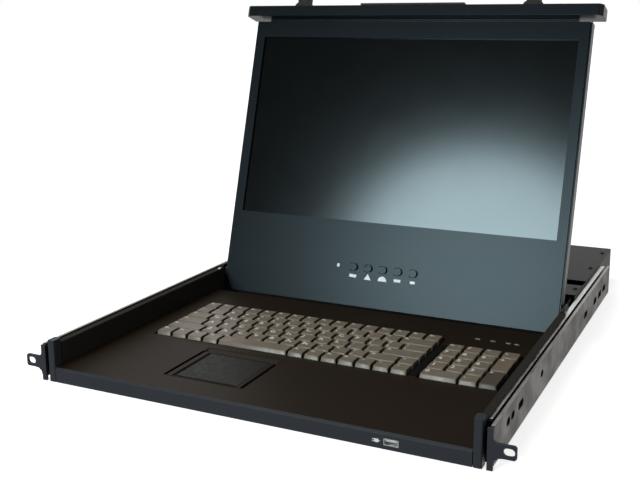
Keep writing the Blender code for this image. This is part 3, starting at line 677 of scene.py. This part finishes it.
def make_marks():
    """The signs under the display's buttons, by the USB socket and on the power switch."""
    face = panel_box("bezel")[0].y
    dome = [(4.5 * cos(a * pi / 6), -2.3 + 5.0 * sin(a * pi / 6)) for a in range(7)]
    shapes = {
        1: [(-4.0, -1.2), (3.2, -1.7), (4.0, 1.2), (-3.4, 1.7)],
        2: [(-3.7, -2.5), (3.7, -2.5), (0.0, 3.4)],
        3: [(-4.5, -2.3), (4.5, -2.3)] + dome,
        4: [(-3.4, -1.4), (3.4, -1.4), (3.4, 1.4), (-3.4, 1.4)],
        5: [(-2.5, -1.3), (2.5, -1.3), (2.5, 1.3), (-2.5, 1.3)],
    }
    stand = Matrix.Rotation(pi / 2, 4, "X")
    signs = bmesh.new()
    for number, outline in shapes.items():
        start, stop = panel_box(f"menu_button_{number}")
        middle = (start + stop) / 2
        at = Vector((middle.x + SIGN_SHIFT * MM, face, middle.z - SIGN_DROP * MM))
        mark(signs, outline, PANEL @ Matrix.Translation(at) @ stand @ Matrix.Scale(SIGN_SCALE, 4))
    piece("button_marks", signs, "print_white", "display")

    low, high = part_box("usb_socket")
    at = Vector((low.x - 6.9 * MM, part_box("front_lip")[0].y, (low.z + high.z) / 2))
    place = Matrix.Translation(at) @ stand
    sign = bmesh.new()
    mark(sign, [(-1.4, -1.6), (2.0, -1.6), (2.6, -0.9), (2.6, 0.9), (2.0, 1.6), (-1.4, 1.6)], place)
    for v in (-0.85, 0.85):
        mark(sign, [(-3.2, v - 0.35), (-1.4, v - 0.35), (-1.4, v + 0.35), (-3.2, v + 0.35)], place)
    mark(sign, [(2.6, -0.3), (3.9, -0.3), (3.9, 0.3), (2.6, 0.3)], place)
    piece("socket_sign", sign, "print_white", "drawer")

    faces = [f for f in nodes["power_switch"].data.polygons if f.normal.y > 0.9]
    ends = sorted(faces, key=lambda f: f.center.z)
    switch_marks = bmesh.new()
    for face, sign in ((ends[0], "on"), (ends[-1], "off")):
        across = Vector((-1, 0, 0))
        turn = Matrix((across, face.normal.cross(across), face.normal)).transposed().to_4x4()
        place = Matrix.Translation(face.center) @ turn
        if sign == "on":
            mark(switch_marks, [(-0.4, -1.6), (0.4, -1.6), (0.4, 1.6), (-0.4, 1.6)], place)
        else:
            band(switch_marks, circle((0, 0), 1.7 * MM, 0.0), circle((0, 0), 1.1 * MM, 0.0), place)
    piece("power_switch_marks", switch_marks, "print_white", "power_rocker")


def make_lenses():
    """The clear caps of the four status lights. The last light is red."""
    low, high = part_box("status_lights")
    middle_y = (low.y + high.y) / 2
    caps = bmesh.new()
    for along in STATUS_LIGHTS:
        x = low.x + along * MM
        span_x, span_y = (x - 3.0 * MM, x + 3.0 * MM), (middle_y - 1.8 * MM, middle_y + 1.8 * MM)
        before = len(caps.faces)
        loft(caps, stepped(span_x, span_y, high.z, STATUS_LENS, 0.7 * MM))
        caps.faces.ensure_lookup_table()
        for face in caps.faces[before:]:
            face.material_index = int(along == STATUS_LIGHTS[-1])
    piece("status_lenses", caps, ["lamp", "lamp_red"], "drawer")


def make_key_gap_shade():
    """A black strip on the deck between the main keys and the number pad: painted shade, a dark sheet
    where the gap between the two blocks falls into shade.
    """
    first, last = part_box("pad_keys_5"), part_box("pad_keys_1")
    start = max(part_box(row)[1].x for row in ("home_keys", "number_keys", "control_keys_right"))
    across = (start + 1.9 * MM, first[0].x - 1.9 * MM)
    along = (first[0].y + 0.5 * MM, last[1].y - 0.5 * MM)
    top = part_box("keyboard_deck")[1].z
    strip = bmesh.new()
    loft(strip, stepped(across, along, top, GAP_SHADE_PROFILE, 0.8 * MM))
    piece("key_gap_shade", strip, "rubber", "drawer")


def make_touchpad_seal():
    low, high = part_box("touchpad")
    seal = bmesh.new()
    top = high.z + 0.15 * MM
    outer = ring(
        (low.x - 1.2 * MM, high.x + 0.5 * MM), (low.y - 2.4 * MM, high.y + 0.4 * MM), top, 1.4 * MM,
    )
    inner = ring(
        (low.x + 0.4 * MM, high.x - 0.3 * MM), (low.y + 2.2 * MM, high.y - 0.3 * MM), top, 1.0 * MM,
    )
    drop = Vector((0.0, 0.0, -2.5 * MM))
    skin(seal, [[p + drop for p in outer], outer, inner, [p + drop for p in inner]], closed=True)
    piece("touchpad_seal", seal, "rubber", "drawer")


def make_slide_shade_stop(side, name):
    """The rubber stop behind a front post, in front of the slide's end. Its black is painted shade: it
    covers the white floor where the shade under the slides falls.
    """
    low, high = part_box(f"front_post_{name}")
    edge = high.x if side > 0 else -low.x
    span = sorted((side * (edge - 5.6 * MM), side * (edge + 2.8 * MM)))
    y = high.y + 0.5 * MM
    stop = bmesh.new()
    rings = []
    for less, depth in SLIDE_SHADE_STOP:
        flat = ring(inset(span, less * MM), ((0.9 + less) * MM, (36.0 - less) * MM), 0.0, 0.8 * MM)
        rings.append([Vector((p.x, y + depth * MM, p.y + low.z)) for p in flat])
    loft(stop, rings)
    piece(f"slide_shade_stop_{name}", stop, "rubber", "drawer")


def make_rail_shade_liner(side, name):
    """The black strip inside an outer rail, behind the slots in its side: painted shade for the dark
    inside of the rail.
    """
    rail_low, rail_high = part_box(f"outer_rail_{name}")
    web = (rail_high.x if side > 0 else -rail_low.x) - 1.65 * MM
    span = sorted((side * web, side * (web - 0.7 * MM)))
    along = (rail_low.y + 69.0 * MM, rail_high.y - 16.0 * MM)
    liner = bmesh.new()
    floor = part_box(f"front_post_{name}")[0].z
    loft(liner, stepped(span, along, floor, RAIL_SHADE_LINER, 0.2 * MM, 2))
    piece(f"rail_shade_liner_{name}", liner, "rubber", "rack")


def make_wall_splice(side, name):
    """The plate that joins a side wall of the tray to the rear case."""
    low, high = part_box(f"front_post_{name}")
    wall = (high.x if side > 0 else -low.x) - 7.2 * MM
    span = sorted((side * wall, side * (wall - 1.3 * MM)))
    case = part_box("rear_case")[0].y
    splice = bmesh.new()
    loft(splice, stepped(span, (case - 14.0 * MM, case + 8.0 * MM), low.z, WALL_SPLICE, 0.35 * MM))
    piece(f"wall_splice_{name}", splice, "black_steel", "drawer")


def make_fittings():
    make_touchpad_seal()
    for side, name in ((-1, "left"), (1, "right")):
        make_slide_shade_stop(side, name)
        make_rail_shade_liner(side, name)
        make_wall_splice(side, name)


# ---------------------------------------------------------------- sockets

def d_ring(x, z, y, set_in):
    """The D shape of a video socket, across x and z."""
    wide, narrow, high = 8.2 - set_in, 7.0 - set_in, 3.9 - set_in
    half = [(narrow, -high), (wide, high * 0.6), (wide - 0.6, high)]
    outline = half + [(-u, v) for u, v in half[::-1]]
    return [Vector((x + u * MM, y, z + v * MM)) for u, v in outline]


def make_sockets():
    """The switch's sockets: their insulators, contacts and jack screws, and the mains inlet's blades."""
    low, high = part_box("computer_ports")
    middle_z = (low.z + high.z) / 2
    first, last = low.x + 20 * MM, high.x - 20 * MM
    floor = high.y - 5.0 * MM
    inserts, pins, nuts = bmesh.new(), bmesh.new(), bmesh.new()
    turn = Matrix.Rotation(-pi / 2, 4, "X")
    for i in range(PORT_COUNT):
        x = first + (last - first) * i / (PORT_COUNT - 1)
        rings = [d_ring(x, middle_z, floor + d * MM, 0.75) for d in (0.02, 2.2)]
        rings.append(d_ring(x, middle_z, floor + 2.5 * MM, 1.05))
        loft(inserts, rings)
        for row, (shift, height) in enumerate(((0.0, 1.9), (0.55, 0.0), (0.0, -1.9))):
            for column in range(5):
                along = x + (column - 2) * CONTACT_PITCH * MM + shift * MM
                centre = Vector((along, floor + 2.5 * MM, middle_z + height * MM))
                place = Matrix.Translation(centre) @ turn
                loft(pins, turned((0, 0), 0.0, CONTACT, 8), place)
        for side in (-1, 1):
            centre = Vector((x + side * 12.5 * MM, high.y - 5.2 * MM, middle_z))
            place = Matrix.Translation(centre) @ turn
            loft(nuts, turned((0, 0), 0.0, JACK_SCREW, 6, pi / 6), place)
    piece("port_inserts", inserts, "plastic_black", "drawer")
    piece("port_contacts", pins, "zinc", "drawer")
    piece("port_jack_screws", nuts, "zinc", "drawer")

    low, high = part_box("power_inlet")
    centre = (low + high) / 2
    blades = bmesh.new()
    for x, z in ((-6.0, -2.4), (6.0, -2.4), (0.0, 2.6)):
        span_x = (centre.x + (x - 1.15) * MM, centre.x + (x + 1.15) * MM)
        span_z = (centre.z + (z - 2.15) * MM, centre.z + (z + 2.15) * MM)
        rings = []
        for less, depth in INLET_BLADE:
            flat = ring(inset(span_x, less * MM), inset(span_z, less * MM), 0.0, 0.4 * MM, 2)
            rings.append([Vector((p.x, low.y + depth * MM, p.y)) for p in flat])
        loft(blades, rings)
    piece("inlet_blades", blades, "zinc", "drawer")


# ---------------------------------------------------------------- carried-over parts

NODE_FINISH = {
    "tray": "tray_black", "rear_case": "black_steel", "rear_cover": "black_steel",
    "cable_cover": "black_steel", "back_shell": "panel_black", "carry_handle": "black_steel",
    "front_lip": "blue_black", "bezel": "panel_black", "top_bar": "panel_black",
    "keyboard_deck": "deck_black", "touchpad_frame": "deck_black", "touchpad": "pad_black",
    "touch_button_left": "deck_black", "touch_button_right": "deck_black",
    "key_base": "plastic_black", "usb_socket": "tin", "computer_ports": "chrome",
    "switch_board": "board_green", "display_board": "board_green", "power_supply": "alloy_case",
    "power_inlet": "plastic_black", "power_switch": "plastic_black", "lcd_panel": "screen",
    "badge_plate": "plastic_black", "status_lights": "lamp", "power_light": "lamp_white",
    "hinge_bracket": "black_steel", "rack_bracket": "blue_black", "front_post": "blue_black",
    "outer_rail": "grey_steel", "middle_slide": "slide_zinc", "inner_slide": "slide_zinc",
    "hinge_pin": "chrome", "menu_button": "panel_black",
}
SOFTEN = {  # edge widths in millimetres, where they differ
    "top_bar": 0.5, "front_post": 0.4, "bezel": 0.35, "back_shell": 0.5, "power_supply": 0.5,
    "carry_handle": 0.0, "touchpad": 0.25, "computer_ports": 0.15, "usb_socket": 0.12,
    "power_light": 0.0, "menu_button": 0.25, "switch_board": 0.15, "power_inlet": 0.2,
    "middle_slide": 0.25, "inner_slide": 0.25,
}


def family(name):
    """A node's name without its side or number."""
    stem, _, last = name.rpartition("_")
    return stem if last in ("left", "right") or last.isdigit() else name


def finish_nodes():
    """Every CAD part that stays gets its finish, and rounded edges that catch the light."""
    for name, node in nodes.items():
        if name in KEYS:
            continue
        kind = name if name in NODE_FINISH else family(name)
        material = FINISHES[NODE_FINISH[kind]]
        if not node.material_slots:
            node.data.materials.append(material)
        for place in node.material_slots:
            place.material = material
        width = SOFTEN.get(kind, 0.3)
        if width:
            weld = node.modifiers.new("weld", "WELD")
            weld.merge_threshold = 0.005 * MM
            if kind == "bezel":  # its holes leave thin triangles, which a bevel would turn to spikes
                flat = node.modifiers.new("flat", "DECIMATE")
                flat.decimate_type = "DISSOLVE"
                flat.angle_limit = radians(0.5)
            edges = node.modifiers.new("edges", "BEVEL")
            edges.width = width * MM
            edges.segments = 2
            edges.limit_method = "ANGLE"
            edges.angle_limit = radians(30.0)
            edges.loop_slide = False
            edges.harden_normals = True


# ---------------------------------------------------------------- studio

def softbox(name, at, towards, size, power, colour=(1.0, 1.0, 1.0), shape="RECTANGLE"):
    lamp = bpy.data.lights.new(name, "AREA")
    lamp.shape = shape
    lamp.size, lamp.size_y = size
    lamp.energy = power
    lamp.color = colour
    made = bpy.data.objects.new(name, lamp)
    made.location = at
    made.rotation_euler = (Vector(towards) - Vector(at)).to_track_quat("-Z", "Y").to_euler()
    bpy.context.scene.collection.objects.link(made)
    return made


def make_studio():
    scene = bpy.context.scene
    world = bpy.data.worlds.new("studio")
    scene.world = world
    world.use_nodes = True
    tree = world.node_tree
    around = tree.nodes["Background"]
    way = tree.nodes.new("ShaderNodeSeparateXYZ")
    tree.links.new(tree.nodes.new("ShaderNodeTexCoord").outputs["Generated"], way.inputs[0])
    ramps = (("Y", -0.1, 0.75, AMBIENT[0], AMBIENT[1]), ("Z", 0.0, -0.5, 0.0, AMBIENT[2]))
    parts = []
    for output, *limits in ramps:
        made = tree.nodes.new("ShaderNodeMapRange")
        for name, value in zip(("From Min", "From Max", "To Min", "To Max"), limits):
            made.inputs[name].default_value = value
        tree.links.new(way.outputs[output], made.inputs["Value"])
        parts.append(made.outputs[0])
    total = tree.nodes.new("ShaderNodeMath")
    for part, socket in zip(parts, total.inputs):
        tree.links.new(part, socket)
    tree.links.new(total.outputs[0], around.inputs["Color"])
    white = tree.nodes.new("ShaderNodeBackground")
    white.inputs["Color"].default_value = rgb(1.0, 1.0, 1.0)
    path = tree.nodes.new("ShaderNodeLightPath")
    mix = tree.nodes.new("ShaderNodeMixShader")
    tree.links.new(path.outputs["Is Camera Ray"], mix.inputs[0])
    tree.links.new(around.outputs[0], mix.inputs[1])
    tree.links.new(white.outputs[0], mix.inputs[2])
    tree.links.new(mix.outputs[0], tree.nodes["World Output"].inputs["Surface"])

    floor = bmesh.new()
    bmesh.ops.create_grid(floor, x_segments=1, y_segments=1, size=15.0)
    mesh = mesh_from("floor", floor)
    ground = bpy.data.objects.new("floor", mesh)
    ground.location.z = cad_low.z - 0.2 * MM
    scene.collection.objects.link(ground)
    paper = Finish("paper", 0.0, 0.2)
    paper.set("Base Color", rgb(0.9, 0.9, 0.9))
    paper.set("Roughness", 0.9)
    paper.set("Emission Color", rgb(1.0, 1.0, 1.0))
    out = paper.node("ShaderNodeVectorMath", {0: paper.place}, operation="LENGTH").outputs["Value"]
    paper.set("Emission Strength", paper.spread(out, 0.72, 1.0, 0.8, 3.0))
    mesh.materials.append(paper.material)
    ground.visible_diffuse = ground.visible_glossy = False

    sky = (0.86, 0.97, 1.0)
    softbox("front glow", (-0.62, -2.5, 0.90), (0.05, 0.0, 0.15), (1.08, 0.98), 37.0, sky, "ELLIPSE")
    softbox("overhead", (-0.8, 0.0, 2.0), (0.0, 0.0, 0.0), (1.2, 1.2), 12.5, (1.0, 0.92, 0.82))
    softbox("left fill", (-1.7, -1.0, 0.05), (-0.2, -0.3, 0.02), (0.5, 0.3), 4.0)
    softbox("right fill", (2.0, -0.3, 0.9), (0.0, 0.0, 0.0), (0.8, 0.8), 1.8)

    camera = bpy.data.cameras.new("camera")
    camera.lens = LENS
    camera.shift_x, camera.shift_y = SHIFT
    eye = bpy.data.objects.new("camera", camera)
    heading = Matrix.Rotation(radians(CAMERA_TURN), 4, "Z")
    pitch = Matrix.Rotation(radians(90.0 - CAMERA_DOWN), 4, "X")
    roll = Matrix.Rotation(radians(CAMERA_ROLL), 4, "Z")
    eye.matrix_world = Matrix.Translation(CAMERA_AT) @ (heading @ pitch) @ roll
    scene.collection.objects.link(eye)
    scene.camera = eye
    scene.view_settings.view_transform = "Standard"


make_studio()
finish_nodes()
make_keyboard()
make_screws()
make_marks()
make_lenses()
make_key_gap_shade()
make_fittings()
make_sockets()
